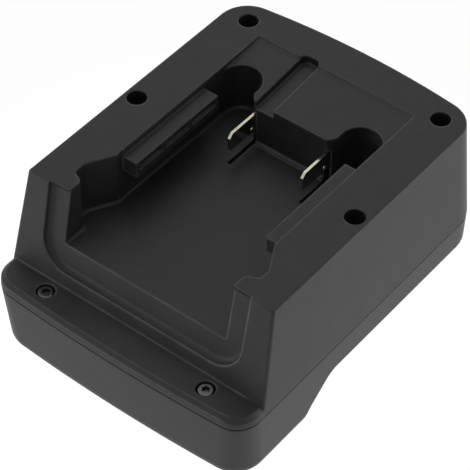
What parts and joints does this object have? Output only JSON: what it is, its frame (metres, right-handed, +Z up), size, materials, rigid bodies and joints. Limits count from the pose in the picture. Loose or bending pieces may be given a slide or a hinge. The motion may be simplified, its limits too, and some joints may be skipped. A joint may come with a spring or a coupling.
{
  "type": "tool battery adapter",
  "caption": "Battery adapter with a railed bay and blades for a slide-on pack on top, and a tower with spring contacts and a release latch for a tool below.",
  "frame": {"origin": "centre of the footprint, on the plane that the adapter rests on", "axes": "+X to the right seen from the front, +Y from the front ledge to the rear, +Z up"},
  "size_m": [0.0878, 0.1138, 0.055],
  "materials": {
    "casing": "fine moulded texture, matte black",
    "blade_metal": "nickel plated",
    "contact_metal": "tin plated spring metal",
    "terminal_metal": "bare stamped",
    "screw_steel": "black zinc",
    "spring_steel": "bright drawn wire",
    "inner_plastic": "moulded",
    "latch_plastic": "moulded",
    "button_plastic": "moulded, with grip grooves",
    "lead_red": "soft insulation",
    "lead_black": "soft insulation"
  },
  "bodies": {
    "casing": {"upper_shell": "casing", "lower_shell": "casing", "pack_blade_left": "blade_metal", "pack_blade_right": "blade_metal", "blade_carrier": "inner_plastic", "carrier_screws": "screw_steel", "tool_contact_left": "contact_metal", "tool_contact_right": "contact_metal", "contact_housing": "inner_plastic", "housing_screws": "screw_steel", "pack_terminal_left": "terminal_metal", "pack_terminal_right": "terminal_metal", "tool_terminal_left": "terminal_metal", "tool_terminal_right": "terminal_metal", "lead_left": "lead_black", "lead_right": "lead_red", "latch_spring_left": "spring_steel", "latch_spring_right": "spring_steel", "latch_retainer": "inner_plastic", "retainer_screws": "screw_steel", "front_screws": "screw_steel", "corner_screws": "screw_steel"},
    "latch": {"latch_slide": "latch_plastic", "release_button": "button_plastic"}
  },
  "joints": [
    {"name": "latch_press", "type": "slide", "parent": "casing", "child": "latch", "axis": [0, 0, 1], "range_m": [0, 0.0046], "stiffness_N_per_m": 300, "springref_m": -0.004, "deforming": ["latch_spring_left", "latch_spring_right"]}
  ]
}
